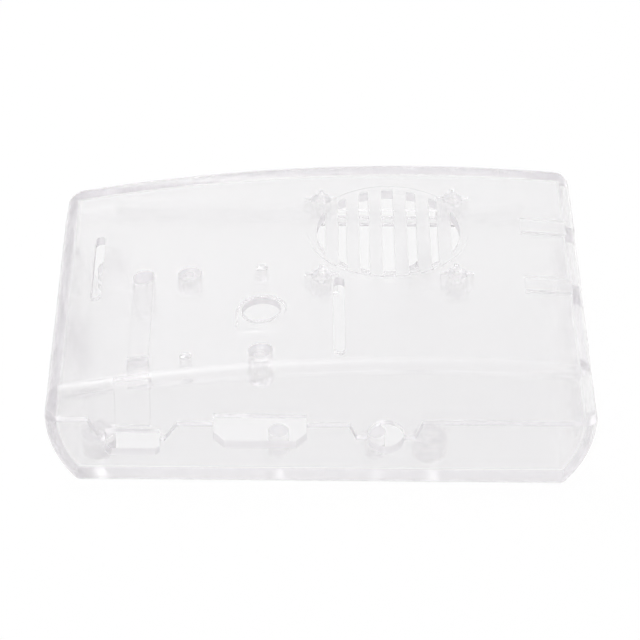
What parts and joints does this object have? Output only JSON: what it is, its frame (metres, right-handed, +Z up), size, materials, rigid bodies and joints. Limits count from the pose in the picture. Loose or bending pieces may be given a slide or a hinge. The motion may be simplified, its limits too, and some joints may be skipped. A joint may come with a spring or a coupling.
{
  "type": "single board computer case",
  "caption": "Clear two-piece snap-together case for a small single board computer, with arched vented lid, camera hole, ribbon slots and port openings.",
  "frame": {"origin": "under the middle of the case, on the surface that it stands on", "axes": "+X along the length towards the network and USB end, +Z up, -Y is the long wall with the power, video and audio ports"},
  "size_m": [0.0956, 0.0626, 0.0265],
  "materials": {
    "shell_plastic": "clear, light moulded gloss",
    "cover_plastic": "clear, light moulded gloss"
  },
  "bodies": {
    "base": {"bottom_shell": "shell_plastic"},
    "cover": {"top_cover": "cover_plastic"}
  },
  "joints": [
    {"name": "cover_lift", "type": "slide", "parent": "base", "child": "cover", "axis": [0, 0, 1], "range_m": [0, 0.03]}
  ]
}
